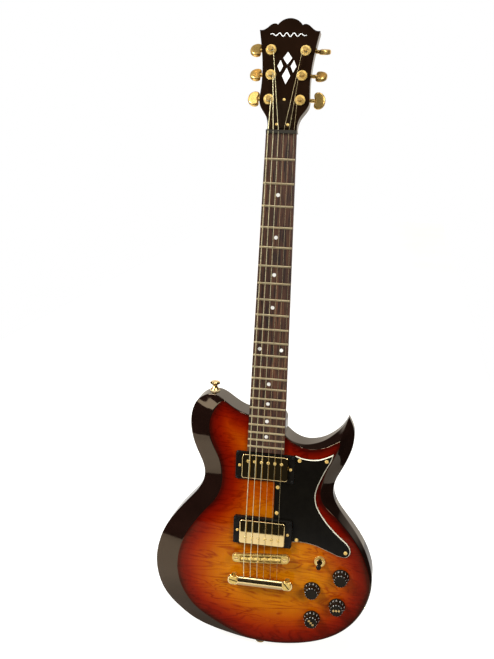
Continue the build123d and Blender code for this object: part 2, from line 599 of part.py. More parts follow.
# ---- export -------------------------------------------------------------------------------------
os.makedirs("parts", exist_ok=True)
single = {
    "body_back": body_back, "top_cap": top_cap, "neck": neck, "headstock_veneer": veneer,
    "truss_rod_cover": truss_cover, "fingerboard": board, "nut": nut, "pickguard": guard,
    "neck_pickup_ring": neck_ring, "bridge_pickup_ring": bridge_ring,
    "neck_pickup_cover": neck_cover, "neck_pickup_coils": neck_coils,
    "bridge_pickup_cover": bridge_cover, "bridge_pickup_coils": bridge_coils,
    "bridge_body": bridge, "tailpiece": tail, "control_cover": control_cover,
    "output_jack": jack, "switch_body": switch_body, "switch_nut": switch_nut,
    "switch_lever": lever, "switch_tip": tip,
}
groups = {
    "frets": frets, "inlay_dots": dots, "strings": strings, "small_wood_screws": small_screws,
    "pickup_ring_screws": ring_screws, "pickup_height_screws": height_screws,
    "tailpiece_studs": tail_studs, "bridge_posts": bridge_posts, "bridge_thumbwheels": bridge_wheels,
    "intonation_screws": intonation, "strap_buttons": strap_buttons, "strap_felts": strap_felts,
    "plate_screws": plate_screws, "pots": pots, "tuner_housings": housings, "tuner_ferrules": ferrules,
}
for name, shape in single.items():
    save(name, shape)
for name, shapes in groups.items():
    save(name, shapes)
for k in range(6):
    save("saddle_%d" % (k + 1), saddles[k])
    save("tuner_button_%d" % (k + 1), tuner_buttons[k])
    save("tuner_post_%d" % (k + 1), tuner_posts[k])
for k, knob in enumerate(knobs):
    save("knob_%d" % (k + 1), knob)
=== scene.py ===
"""Looks of the single-cutaway electric guitar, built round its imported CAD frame."""
import json
import math

import bmesh
import bpy
import numpy as np
from mathutils import Euler, Matrix, Vector
from mathutils.geometry import delaunay_2d_cdt

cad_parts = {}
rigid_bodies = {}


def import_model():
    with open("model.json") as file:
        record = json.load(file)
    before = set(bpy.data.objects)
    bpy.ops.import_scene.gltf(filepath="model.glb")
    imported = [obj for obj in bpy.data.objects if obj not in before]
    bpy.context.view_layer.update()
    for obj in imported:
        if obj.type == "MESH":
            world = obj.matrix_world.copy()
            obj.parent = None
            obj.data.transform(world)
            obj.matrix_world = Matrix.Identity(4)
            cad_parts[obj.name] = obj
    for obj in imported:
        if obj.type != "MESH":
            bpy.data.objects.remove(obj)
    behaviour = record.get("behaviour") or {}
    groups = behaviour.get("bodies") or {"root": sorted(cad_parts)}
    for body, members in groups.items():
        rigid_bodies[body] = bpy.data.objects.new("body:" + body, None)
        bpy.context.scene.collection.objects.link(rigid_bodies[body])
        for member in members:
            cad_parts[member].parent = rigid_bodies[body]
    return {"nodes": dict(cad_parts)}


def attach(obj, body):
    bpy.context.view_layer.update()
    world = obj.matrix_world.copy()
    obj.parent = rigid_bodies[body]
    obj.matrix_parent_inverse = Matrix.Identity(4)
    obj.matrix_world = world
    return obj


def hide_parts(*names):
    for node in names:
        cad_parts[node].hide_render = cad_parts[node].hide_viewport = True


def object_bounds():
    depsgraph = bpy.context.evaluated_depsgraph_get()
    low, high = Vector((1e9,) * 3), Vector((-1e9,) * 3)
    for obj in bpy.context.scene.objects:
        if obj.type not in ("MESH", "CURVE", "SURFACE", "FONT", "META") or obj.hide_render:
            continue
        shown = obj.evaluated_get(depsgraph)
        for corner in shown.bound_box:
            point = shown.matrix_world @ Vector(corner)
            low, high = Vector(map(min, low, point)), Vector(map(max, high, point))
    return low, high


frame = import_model()
nodes = frame["nodes"]
CAD_BOX = [list(corner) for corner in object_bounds()]

# ---- drawing frames, in mm ----------------------------------------------------------------------
# The body is drawn flat: x across, y along the strings, z out of the front. FLAT takes that to the
# frame's metres. The neck and the headstock have drawings of their own, which lean back from it.
MM = 0.001
FRONT_PLANE = 24.0        # the front lies this far ahead of the frame's y = 0
DRAWING_RISE = 147.9      # the drawing's y = 0, the bridge line, is this far above the frame's z = 0
SCALE_LENGTH = 628.65
FRET_PLANE_Z = 14.5       # height of the fret tops' plane over the bridge line
NECK_ANGLE = 3.0
HEAD_START = SCALE_LENGTH + 4.0
HEAD_DROP = 8.0
HEAD_ANGLE = 13.0

FLAT = Matrix(((MM, 0, 0, 0), (0, 0, -MM, -MM * FRONT_PLANE), (0, MM, 0, MM * DRAWING_RISE), (0, 0, 0, 1)))
NECK = Matrix.Translation((0, 0, FRET_PLANE_Z)) @ Matrix.Rotation(math.radians(-NECK_ANGLE), 4, "X")
HEAD_PLACE = Matrix.Translation((0, HEAD_START, -HEAD_DROP))
HEAD = NECK @ HEAD_PLACE @ Matrix.Rotation(math.radians(-HEAD_ANGLE), 4, "X")


def drawn(vertices):
    """Places of mesh vertices in the flat drawing: x and y in mm."""
    return np.array([(v.co.x * 1000, v.co.z * 1000 - DRAWING_RISE) for v in vertices])


def srgb(r, g, b):
    """Linear colour from 0-255 display values."""
    def lin(c):
        c /= 255
        return c / 12.92 if c <= 0.04045 else ((c + 0.055) / 1.055) ** 2.4
    return (lin(r), lin(g), lin(b), 1.0)


# ---- node helpers -------------------------------------------------------------------------------
class Nodes:
    """Short ways to wire the nodes of one tree."""

    def __init__(self, tree, output, coordinates):
        self.tree = tree
        self.tree.nodes.clear()
        self.out = self.tree.nodes.new("ShaderNodeOutput" + output)
        self.coord = self.tree.nodes.new("ShaderNodeTexCoord").outputs[coordinates]

    def node(self, kind, links=(), **values):
        n = self.tree.nodes.new("ShaderNode" + kind)
        for key, value in values.items():
            if hasattr(n, key):
                setattr(n, key, value)
            else:
                n.inputs[key.replace("_", " ")].default_value = value
        for socket, source in dict(links).items():
            self.tree.links.new(source, n.inputs[socket])
        return n

    def stretched(self, scale):
        return self.node("Mapping", {"Vector": self.coord}, Scale=scale).outputs[0]

    def noise(self, scale, detail=3.0, rough=0.5, vector=None, distortion=0.0):
        n = self.node("TexNoise", {"Vector": vector or self.coord}, Scale=scale, Detail=detail,
                      Roughness=rough, Distortion=distortion)
        return n.outputs["Fac"]

    def ramp(self, source, stops):
        n = self.tree.nodes.new("ShaderNodeValToRGB")
        while len(n.color_ramp.elements) < len(stops):
            n.color_ramp.elements.new(0.5)
        for element, (place, colour) in zip(n.color_ramp.elements, stops):
            element.position = place
            element.color = colour if len(colour) == 4 else (*colour, 1)
        self.tree.links.new(source, n.inputs[0])
        return n.outputs[0]

    def levels(self, source, low, high, a=0.3, b=0.7):
        """The source's range a to b, spread over low to high."""
        n = self.node("MapRange", {"Value": source}, From_Min=a, From_Max=b, To_Min=low, To_Max=high)
        return n.outputs[0]

    def math(self, op, a, b=0.5):
        n = self.tree.nodes.new("ShaderNodeMath")
        n.operation = op
        for i, v in enumerate((a, b)):
            if isinstance(v, (int, float)):
                n.inputs[i].default_value = v
            else:
                self.tree.links.new(v, n.inputs[i])
        return n.outputs[0]

    def mix(self, factor, a, b, blend="MIX"):
        n = self.tree.nodes.new("ShaderNodeMix")
        n.data_type = "RGBA"
        n.blend_type = blend
        for i, v in ((0, factor), (6, a), (7, b)):
            if isinstance(v, (int, float, tuple)):
                n.inputs[i].default_value = v
            else:
                self.tree.links.new(v, n.inputs[i])
        return n.outputs[2]

    def camera_ray(self):
        """1 where the camera itself looks, 0 in light and reflections."""
        return self.tree.nodes.new("ShaderNodeLightPath").outputs["Is Camera Ray"]


class Shader(Nodes):
    """A principled material on the object's own coordinates."""

    def __init__(self, name, **values):
        self.mat = bpy.data.materials.new(name)
        self.mat.use_nodes = True
        super().__init__(self.mat.node_tree, "Material", "Object")
        self.bsdf = self.tree.nodes.new("ShaderNodeBsdfPrincipled")
        self.tree.links.new(self.bsdf.outputs[0], self.out.inputs[0])
        for key, value in values.items():
            self.bsdf.inputs[key.replace("_", " ")].default_value = value

    def set(self, socket, source):
        self.tree.links.new(source, self.bsdf.inputs[socket])
        return self

    def bump(self, height, strength, distance=0.0002):
        n = self.node("Bump", {"Height": height}, Strength=strength, Distance=distance)
        self.tree.links.new(n.outputs[0], self.bsdf.inputs["Normal"])
        return self


# ---- materials: two tones, then the roughness from smooth to rough --------------------------------
def gold(name, light, dark, smooth, rough, grain=700.0, strength=0.05, metal=1.0):
    s = Shader(name, Metallic=metal)
    s.set("Base Color", s.mix(s.levels(s.noise(45, 4), 0, 1), light, dark))
    s.set("Roughness", s.levels(s.noise(160, 5, 0.6), smooth, rough))
    return s.bump(s.noise(grain, 4), strength, 0.0001).mat


def plastic(name, light, dark, smooth, rough, grain=1500.0, strength=0.03, level=0.5):
    s = Shader(name, Specular_IOR_Level=level)
    s.set("Base Color", s.mix(s.levels(s.noise(90, 4), 0, 1), light, dark))
    s.set("Roughness", s.levels(s.noise(240, 5, 0.6), smooth, rough))
    return s.bump(s.noise(grain, 3), strength, 0.0001).mat


GOLD = gold("gold_plate", (0.86, 0.62, 0.27, 1), (0.72, 0.49, 0.19, 1), 0.14, 0.26)
GOLD_MIRROR = gold("gold_polished", (0.88, 0.68, 0.34, 1), (0.82, 0.60, 0.26, 1), 0.015, 0.035, 300, 0.01)
GOLD_BAR = gold("gold_bar", (0.90, 0.70, 0.36, 1), (0.84, 0.62, 0.28, 1), 0.10, 0.18, 300, 0.01)
GOLD_SATIN = gold("gold_satin", (0.96, 0.64, 0.20, 1), (0.86, 0.54, 0.15, 1), 0.24, 0.34, metal=0.74)
GOLD_FERRULE = gold("gold_ferrule", (0.98, 0.70, 0.24, 1), (0.90, 0.60, 0.17, 1), 0.20, 0.30, metal=0.36)
GOLD_CAST = gold("gold_cast", (0.80, 0.58, 0.18, 1), (0.58, 0.40, 0.11, 1), 0.24, 0.36, metal=0.85)
FRET = gold("fret_nickel", (0.86, 0.72, 0.44, 1), (0.76, 0.62, 0.37, 1), 0.30, 0.38, 300, 0.01)
BLACK_SATIN = plastic("black_moulded", (0.009, 0.008, 0.006, 1), (0.006, 0.005, 0.004, 1), 0.20, 0.30,
                      level=0.15)
KNOB_BLACK = plastic("knob_plastic", (0.013, 0.010, 0.006, 1), (0.009, 0.007, 0.004, 1), 0.16, 0.28,
                     level=0.10)
NUT_BLACK = plastic("nut_graphite", (0.038, 0.033, 0.024, 1), (0.022, 0.019, 0.013, 1), 0.4, 0.55,
                    level=0.25)
PEARL = plastic("pearl_dot", (0.94, 0.92, 0.86, 1), (0.74, 0.72, 0.66, 1), 0.18, 0.3)
FELT = plastic("cream_felt", (0.80, 0.62, 0.34, 1), (0.66, 0.50, 0.27, 1), 0.85, 0.95, 900, 0.6)
ALLOY = gold("raw_alloy", (0.55, 0.55, 0.54, 1), (0.42, 0.42, 0.41, 1), 0.3, 0.5)
# black oxide for the black screws; the same dark material is also laid on the gold stud and pole heads as
# painted shade in their slots
SCREW_BLACK_AND_SLOT_SHADE = gold("black_oxide_and_slot_shade", (0.04, 0.038, 0.036, 1), (0.025, 0.024, 0.023, 1), 0.3, 0.5)


def string_material():
    s = Shader("string_wound", Metallic=0.4, Specular_Tint=(1, 0.82, 0.5, 1))
    wound = s.mix(s.levels(s.noise(120, 3), 0, 1), (0.76, 0.69, 0.42, 1), (0.60, 0.53, 0.30, 1))
    across = s.node("SeparateXYZ", {"Vector": s.coord}).outputs["X"]
    # towards the treble side the strings turn darker: partly the plain strings' own steel colour, partly
    # painted shade that holds down the highlights the lamps give them
    s.set("Base Color", s.mix(s.levels(across, 0, 1, -0.002, 0.004), wound, (0.44, 0.36, 0.19, 1)))
    s.set("Roughness", s.levels(s.noise(300, 4), 0.22, 0.38))
    wave = s.node("TexWave", {"Vector": s.coord}, wave_type="BANDS", bands_direction="Z", Scale=600.0)
    return s.bump(wave.outputs["Fac"], 0.25, 0.0001).mat


def rosewood():
    s = Shader("rosewood", Specular_IOR_Level=0.42)
    grain = s.stretched((420.0, 420.0, 9.0))
    broad = s.stretched((60.0, 60.0, 2.2))
    tone = s.mix(s.levels(s.noise(1.0, 6, 0.65, broad, 0.6), 0, 1), srgb(66, 41, 29), srgb(116, 77, 54))
    streak = s.levels(s.noise(1.0, 5, 0.7, grain, 0.2), 0, 1, 0.42, 0.62)
    s.set("Base Color", s.mix(streak, srgb(34, 19, 13), tone))
    s.set("Roughness", s.levels(streak, 0.62, 0.42, 0, 1))
    return s.bump(streak, 0.35, 0.0002).mat


def neck_lacquer():
    s = Shader("neck_lacquer", Specular_Tint=(1, 0.8, 0.6, 1))
    grain = s.stretched((90.0, 90.0, 3.0))
    tone = s.mix(s.levels(s.noise(1.0, 6, 0.6, grain, 0.4), 0, 1), srgb(44, 16, 10), srgb(22, 10, 8))
    s.set("Base Color", tone)
    s.set("Roughness", s.levels(s.noise(60, 4), 0.05, 0.10))
    return s.bump(s.noise(25, 3), 0.04, 0.0004).mat


def black_lacquer(name, base, level=0.66):
    s = Shader(name, Specular_Tint=(1, 0.76, 0.50, 1), Specular_IOR_Level=level)
    dark = tuple(c * 0.6 for c in base[:3]) + (1,)
    s.set("Base Color", s.mix(s.levels(s.noise(30, 4), 0, 1), base, dark))
    s.set("Roughness", s.levels(s.noise(120, 4), 0.03, 0.07))
    return s.bump(s.noise(18, 3), 0.03, 0.0006).mat


def burst():
    """Figured maple under an amber to near-black sunburst; depth is mm inside the crease."""
    per_mm = 0.01       # of the ramp's length
    s = Shader("sunburst_maple", Specular_Tint=(0.20, 0.20, 0.11, 1))
    depth = s.node("Attribute", attribute_name="depth").outputs["Fac"]
    wobble = s.levels(s.noise(16, 3, 0.5), -0.02, 0.02)
    reach = s.math("ADD", s.math("MULTIPLY", depth, per_mm), wobble)
    # painted reflection: low on the body the amber is left lighter and yellower, standing in for reflected
    # light; towards the neck it darkens to the finish's redder tone
    height = s.node("SeparateXYZ", {"Vector": s.coord}).outputs["Z"]
    reach = s.math("MINIMUM", reach, s.levels(height, 0.90, 0.42, 0.185, 0.245))
    stops = [(0.0, srgb(56, 10, 6)), (0.04, srgb(90, 11, 4)), (0.085, srgb(108, 14, 3)),
             (0.14, srgb(120, 18, 2)), (0.20, srgb(136, 29, 1)), (0.28, srgb(152, 47, 1)),
             (0.40, srgb(167, 68, 1)), (0.55, srgb(183, 97, 3)), (0.80, srgb(197, 118, 5))]
    colour = s.ramp(reach, stops)
    # the maple's figure: broad quilt, fine veins along its folds, faint patches and open pores
    ripple = s.stretched((14.0, 14.0, 40.0))
    quilt = s.noise(1.0, 4, 0.55, ripple, 1.6)
    folds = s.noise(1.0, 3, 0.5, s.stretched((8.5, 8.5, 36.0)), 0.7)
    contour = s.math("PINGPONG", s.math("MULTIPLY", folds, 11.0), 0.5)
    veins = s.levels(contour, 0, 1, 0.0, 0.24)
    faint = s.levels(s.noise(1.0, 2, 0.5, s.stretched((22.0, 22.0, 40.0))), 0.45, 1.0, 0.35, 0.60)
    pores = s.levels(s.noise(1.0, 4, 0.6, s.stretched((700.0, 700.0, 60.0))), 0.0, 1.0, 0.35, 0.65)
    colour = s.mix(s.levels(quilt, 0.0, 0.5, 0.35, 0.70), colour, srgb(232, 205, 170), "MULTIPLY")
    darker = s.mix(faint, colour, srgb(205, 160, 105), "MULTIPLY")
    colour = s.mix(veins, darker, colour)
    colour = s.mix(s.levels(pores, 0.07, 0.0, 0, 1), colour, srgb(60, 14, 0))
    s.set("Base Color", colour)
    s.set("Roughness", s.levels(quilt, 0.03, 0.07))
    return s.bump(s.noise(14, 3), 0.03, 0.0006).mat


def laminate(name, dark, darker, light, grey):
    """Dark laminate whose cut bevel shows the core."""
    s = Shader(name, Specular_IOR_Level=0.1)
    wall, face_on = 0.25, 0.93      # how far the cut edge turns to the front, between wall and face
    normal = s.node("NewGeometry").outputs["Normal"]
    facing = s.math("MULTIPLY", s.node("SeparateXYZ", {"Vector": normal}).outputs["Y"], -1.0)
    cut = s.math("MULTIPLY", s.math("GREATER_THAN", facing, wall), s.math("LESS_THAN", facing, face_on))
    face = s.mix(s.levels(s.noise(90, 4), 0, 1), dark, darker)
    core = s.mix(s.levels(s.noise(200, 4), 0, 1), light, grey)
    s.set("Base Color", s.mix(cut, face, core))
    s.set("Roughness", s.levels(s.noise(240, 5, 0.6), 0.16, 0.26))
    return s.bump(s.noise(1500, 3), 0.02, 0.0001).mat


STRING = string_material()
FIGURE_WHITE = plastic("dial_figure_paint", srgb(205, 203, 196), srgb(180, 178, 170), 0.4, 0.5)
INLAY = plastic("pearl_inlay", srgb(250, 250, 246), srgb(228, 230, 226), 0.15, 0.3)
ROSEWOOD = rosewood()
NECK_WOOD = neck_lacquer()
LACQUER = black_lacquer("black_lacquer", srgb(29, 15, 11))
HEAD_LACQUER = black_lacquer("headstock_lacquer", srgb(30, 17, 9), 0.5)
BURST = burst()
GUARD = laminate("pickguard_laminate", (0.0065, 0.0055, 0.0038, 1), (0.0045, 0.0038, 0.0028, 1),
                 srgb(238, 232, 210), srgb(214, 206, 180))
ROD_COVER = laminate("rod_cover_laminate", srgb(32, 22, 14), srgb(27, 18, 11),
                     srgb(120, 98, 74), srgb(96, 78, 60))

FINISH = {
    "top_cap": LACQUER, "body_back": LACQUER, "neck": NECK_WOOD, "headstock_veneer": HEAD_LACQUER,
    "fingerboard": ROSEWOOD, "truss_rod_cover": ROD_COVER, "pickguard": GUARD, "nut": NUT_BLACK,
    "neck_pickup_ring": BLACK_SATIN, "bridge_pickup_ring": BLACK_SATIN, "control_cover": BLACK_SATIN,
    "neck_pickup_cover": GOLD_MIRROR, "bridge_pickup_cover": GOLD_MIRROR, "tailpiece": GOLD_BAR,
    "neck_pickup_coils": GOLD, "bridge_pickup_coils": GOLD, "output_jack": GOLD, "switch_body": GOLD,
    "switch_lever": GOLD, "bridge_posts": GOLD, "bridge_thumbwheels": GOLD, "intonation_screws": GOLD,
    "strap_buttons": GOLD, "tuner_housings": GOLD, "bridge_body": GOLD_CAST, "switch_nut": GOLD_CAST,
    "tailpiece_studs": GOLD_CAST, "small_wood_screws": GOLD_FERRULE, "tuner_ferrules": GOLD_FERRULE,
    "pickup_height_screws": GOLD_FERRULE, "pickup_ring_screws": SCREW_BLACK_AND_SLOT_SHADE, "plate_screws": SCREW_BLACK_AND_SLOT_SHADE,
    "switch_tip": KNOB_BLACK, "frets": FRET, "inlay_dots": PEARL, "strings": STRING,
    "strap_felts": FELT, "pots": ALLOY,
}
NUMBERED_FINISH = {"knob": KNOB_BLACK, "saddle": GOLD_CAST, "tuner": GOLD_SATIN}

for name, obj in nodes.items():
    obj.data.materials.clear()
    obj.data.materials.append(FINISH[name] if name in FINISH else NUMBERED_FINISH[name.split("_")[0]])

# ---- body outline -------------------------------------------------------------------------------
# Each row is a point of the rim (x, y, z) and the point of the crease (x, y) that its bevel rises to.
RIM_OUTER = [
    (-27.0, 222.3, -1.5, -26.4, 220.8), (-38.0, 225.6, -1.5, -37.3, 224.2),
    (-51.5, 232.2, -1.5, -50.6, 230.9), (-64.5, 241.0, -1.5, -63.8, 239.4),
    (-76.0, 246.4, -5.0, -70.5, 238.2), (-87.0, 247.2, -8.0, -75.6, 231.6),
    (-98.0, 243.2, -10, -79.8, 224.6), (-107.5, 235.5, -10, -83.4, 216.5),
    (-113.8, 223.5, -10, -85.6, 208.5), (-116.9, 207.0, -10, -86.4, 199.0),
    (-116.2, 190.0, -10, -85.2, 188.0), (-111.6, 170.3, -10, -80.5, 172.5),
    (-104.0, 152.0, -10, -73.6, 157.5), (-97.0, 136.5, -10, -67.8, 143.5),
    (-94.0, 121.0, -10, -64.7, 126.0), (-96.8, 106.0, -10, -65.4, 109.0),
    (-105.5, 90.5, -10, -69.8, 93.0), (-118.5, 74.5, -10, -79.5, 77.0), (-132.5, 57.5, -10, -93.5, 60.0),
    (-145.5, 39.5, -10, -107.5, 40.0), (-156.5, 20.0, -10, -119.0, 21.0),
    (-164.0, -1.5, -10, -127.5, -1.0), (-167.9, -22.5, -10, -131.6, -22.5),
    (-167.6, -44.0, -10, -131.2, -44.0), (-161.5, -69.0, -10, -124.6, -68.0),
    (-149.0, -90.5, -9, -112.5, -88.5), (-130.5, -109.0, -9, -95.5, -105.6),
    (-106.5, -124.8, -7, -74.0, -119.0), (-80.5, -134.4, -5, -54.0, -129.8),
    (-52.0, -140.6, -3, -38.0, -136.6), (-24.0, -145.6, -2, -21.5, -142.9),
    (15.0, -148.6, -2, 15.0, -146.4), (54.0, -145.2, -2, 53.6, -143.1), (91.0, -135.4, -2, 90.2, -133.4),
    (118.0, -121.8, -2, 116.8, -120.1), (139.0, -103.8, -2, 137.5, -102.4),
    (154.5, -81.5, -2, 152.6, -80.6), (164.5, -56.0, -2, 162.4, -55.6), (168.3, -30.0, -3, 165.6, -30.0),
    (166.2, -11.0, -7, 162.8, -10.6), (161.8, 3.0, -11, 158.3, 2.0), (154.8, 19.0, -15, 151.6, 17.6),
    (145.6, 34.5, -18, 142.7, 32.8), (134.0, 50.5, -21, 131.2, 48.8), (121.5, 66.0, -23, 118.2, 63.6),
    (110.0, 81.5, -24, 104.5, 78.2), (103.2, 96.0, -22, 90.5, 91.5), (101.5, 111.0, -20, 84.2, 107.5),
    (104.6, 126.5, -20, 86.0, 126.0), (112.0, 142.5, -20, 90.3, 143.0), (119.5, 159.0, -22, 97.0, 159.0),
    (125.4, 176.5, -24, 103.6, 173.6), (127.3, 191.5, -26, 107.6, 183.6),
    (125.5, 206.5, -28, 108.6, 189.4), (117.5, 223.0, -30, 107.0, 193.0),
]
RIM_CUTAWAY = [
    (117.5, 223.0, -30, 107.0, 193.0), (107.5, 206.0, -27, 103.2, 191.6), (96.5, 195.3, -24, 96.0, 187.2),
    (84.5, 187.2, -19.5, 84.3, 181.2), (70.5, 182.2, -15.5, 71.0, 178.2),
    (57.0, 180.9, -11.5, 57.6, 178.4), (44.0, 184.0, -7, 45.0, 182.2), (33.0, 190.4, -3, 33.9, 189.0),
    (27.0, 195.8, -2, 27.6, 194.0),
]
OUTER_POINTS = 560
CUTAWAY_POINTS = 120
NECK_POINTS = 12          # straight across the neck's tongue
RIM_TOP = -1.2            # the rim stays at least this far below the front
BODY_BACK = -44.0

# ---- shapes in the drawing ----------------------------------------------------------------------
def spline(rows, count):
    """Cubic curve through the rows, marked off by rim chord length."""
    p = np.array(rows, float)
    t = np.concatenate([[0], np.cumsum(np.linalg.norm(np.diff(p[:, :2], axis=0), axis=1))])
    h = np.diff(t)
    n = len(t)
    a = np.zeros((n, n))
    b = np.zeros((n, p.shape[1]))
    a[0, 0] = a[-1, -1] = 1
    for i in range(1, n - 1):
        a[i, i - 1:i + 2] = h[i - 1], 2 * (h[i - 1] + h[i]), h[i]
        b[i] = 6 * ((p[i + 1] - p[i]) / h[i] - (p[i] - p[i - 1]) / h[i - 1])
    m = np.linalg.solve(a, b)
    out = []
    for u in np.linspace(0, t[-1], count):
        i = min(max(int(np.searchsorted(t, u) - 1), 0), n - 2)
        l, r = t[i + 1] - u, u - t[i]
        out.append(m[i] * l**3 / (6 * h[i]) + m[i + 1] * r**3 / (6 * h[i])
                   + (p[i] / h[i] - m[i] * h[i] / 6) * l + (p[i + 1] / h[i] - m[i + 1] * h[i] / 6) * r)
    return np.array(out)


def round_corner(p, to_a, to_b, steps=4):
    """Points from p + to_a to p + to_b, curving round p."""
    ts = np.linspace(0, 1, steps + 1)
    return [p + to_a * (1 - t) ** 2 + to_b * t**2 for t in ts]


def inside(points, loop):
    """Which of the points lie inside the closed loop."""
    x, y = points[:, 0], points[:, 1]
    hit = np.zeros(len(points), bool)
    for (x0, y0), (x1, y1) in zip(loop, np.roll(loop, -1, axis=0)):
        crosses = (y0 > y) != (y1 > y)
        with np.errstate(divide="ignore", invalid="ignore"):
            hit ^= crosses & (x < (x1 - x0) * (y - y0) / (y1 - y0) + x0)
    return hit


def distance_to(points, loop):
    """Distance from each point to the nearest side of the loop."""
    best = np.full(len(points), 1e9)
    for a, b in zip(loop, np.roll(loop, -1, axis=0)):
        ab = b - a
        t = np.clip(((points - a) @ ab) / max(ab @ ab, 1e-9), 0, 1)
        best = np.minimum(best, np.linalg.norm(points - (a + t[:, None] * ab), axis=1))
    return best


def circle(x, y, r, count=28):
    """Points of a circle, anticlockwise."""
    return np.array([(x + r * math.cos(i * math.tau / count), y + r * math.sin(i * math.tau / count))
                     for i in range(count)])


def rounded_box(x, y, w, h, r, steps=5):
    """Points of a rectangle with rounded corners, anticlockwise."""
    points = []
    for cx, cy, start in ((1, 1, 0), (-1, 1, 90), (-1, -1, 180), (1, -1, 270)):
        for k in range(steps + 1):
            a = math.radians(start + 90 * k / steps)
            points.append((x + cx * (w / 2 - r) + r * math.cos(a), y + cy * (h / 2 - r) + r * math.sin(a)))
    return np.array(points)


def lozenge(x, y, w, h):
    """A diamond that reaches w to the sides and h up and down."""
    return [(x + w, y), (x, y + h), (x - w, y), (x, y - h)]


def bar(half_length, half_width):
    """A rectangle round the origin."""
    return [(-half_length, -half_width), (half_length, -half_width),
            (half_length, half_width), (-half_length, half_width)]


def turned(outline, x, y, angle):
    """The outline turned by an angle in radians and moved to (x, y)."""
    return [(x + u * math.cos(angle) - v * math.sin(angle), y + u * math.sin(angle) + v * math.cos(angle))
            for u, v in outline]


def convex_hull(points):
    """Convex hull of 2-D points, in order."""
    def half(seq):
        out = []
        for p in seq:
            while len(out) > 1 and ((out[-1][0] - out[-2][0]) * (p[1] - out[-2][1])
                                    - (out[-1][1] - out[-2][1]) * (p[0] - out[-2][0])) <= 1e-6:
                out.pop()
            out.append(p)
        return out[:-1]

    pts = sorted(map(tuple, np.round(points, 3)))
    return np.array(half(pts) + half(reversed(pts)))


def sleeve(start, rings, count):
    """Four-sided faces between rings of count points each, numbered on from start."""
    return [(start + j * count + i, start + j * count + (i + 1) % count,
             start + (j + 1) * count + (i + 1) % count, start + (j + 1) * count + i)
            for j in range(rings - 1) for i in range(count)]


def fill(loop, holes, spacing):
    """Triangles of the area inside loop and outside the holes: points, faces."""
    low, high = loop.min(axis=0), loop.max(axis=0)
    gx, gy = np.meshgrid(np.arange(low[0], high[0], spacing), np.arange(low[1], high[1], spacing))
    gx[1::2] += spacing / 2
    grid = np.c_[gx.ravel(), gy.ravel()]
    grid = grid[inside(grid, loop)]
    grid = grid[distance_to(grid, loop) > spacing * 0.5]
    for hole in holes:
        grid = grid[~inside(grid, hole)]
        grid = grid[distance_to(grid, hole) > spacing * 0.4]
    points = np.concatenate([loop, *holes, grid])
    edges = []
    start = 0
    for ring in (loop, *holes):
        n = len(ring)
        edges += [(start + i, start + (i + 1) % n) for i in range(n)]
        start += n
    verts, _, faces, *_ = delaunay_2d_cdt([Vector(p) for p in points], edges, [], 0, 1e-6)
    verts = np.array([tuple(v) for v in verts])
    centres = np.array([verts[list(f)].mean(axis=0) for f in faces])
    keep = inside(centres, loop)
    for hole in holes:
        keep &= ~inside(centres, hole)
    return verts, [tuple(f) for f, k in zip(faces, keep) if k]


def new_mesh(name, verts, faces, materials, frame_matrix=FLAT, body="guitar", smooth=True):
    """An object from drawing points, which rides on the given body."""
    mesh = bpy.data.meshes.new(name)
    mesh.from_pydata([tuple(frame_matrix @ Vector(v)) for v in verts], [], faces)
    mesh.validate()
    for m in materials:
        mesh.materials.append(m)
    if smooth:
        mesh.polygons.foreach_set("use_smooth", [True] * len(mesh.polygons))
    obj = bpy.data.objects.new(name, mesh)
    bpy.context.scene.collection.objects.link(obj)
    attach(obj, body)
    return obj


def prism(name, outlines, low, high, material, frame_matrix, body):
    """Thin plates of the given convex or star-shaped outlines, standing from low to high."""
    verts, faces = [], []
    for outline in outlines:
        n = len(outline)
        start = len(verts)
        cx = sum(p[0] for p in outline) / n
        cy = sum(p[1] for p in outline) / n
        verts += [(px, py, low) for px, py in outline]
        verts += [(px, py, high) for px, py in outline]
        verts.append((cx, cy, high))
        for i in range(n):
            j = (i + 1) % n
            faces.append((start + i, start + j, start + n + j, start + n + i))
            faces.append((start + n + i, start + n + j, start + 2 * n))
    piece = new_mesh(name, verts, faces, [material], frame_matrix, body, smooth=False)


# ---- body shell: front, bevel, rim and back in one skin --------------------------------------------
CREASE_EASE, CREASE_SHARE = 2.4, 0.45     # the crease rounds over this far, or this share of the bevel
RIM_EASE, RIM_SHARE = 1.1, 0.35           # and so does the rim
CREASE_STEPS = 8
FIGURED, DARK = 0, 1                      # the shell's two materials
BURST_BANDS = 4                           # as far over the crease as the figured maple shows
BEVEL_RINGS = (0.25, 0.5, 0.75)
SIDE_RINGS, SIDE_SPAN = (0.33, 0.66), 0.85
BACK_ROUND, BACK_STEPS = 4.0, 6
FRONT_SPACING, BACK_SPACING = 3.0, 12.0   # between the points that fill the flat areas
NECK_PICKUP = (0, 144)
BRIDGE_PICKUP = (0.4, 40.8)
PICKUP_POCKET = (74, 40.4, 3)             # width, length and corner radius
SWITCH = (88.9, 0.9)
SWITCH_HOLE = 5.9
KNOBS = ((122, -21), (79.6, -47.3), (118.7, -70), (81.5, -95.7))
SHAFT_HOLE = 4.7
COVER_GAP = 0.35                          # round the control cover
WELD = 2e-5                               # metres


def rim_and_crease():
    """Points all round the rim, and the point of the crease for each."""
    outer = spline(RIM_OUTER, OUTER_POINTS)
    cut = spline(RIM_CUTAWAY, CUTAWAY_POINTS)
    rows = np.concatenate([outer[:-1], cut, np.linspace(cut[-1], outer[0], NECK_POINTS)[1:-1]])
    rim, crease = rows[:, :3], np.c_[rows[:, 3:], np.zeros(len(rows))]
    rim[:, 2] = np.minimum(rim[:, 2], RIM_TOP)
    return rim, crease


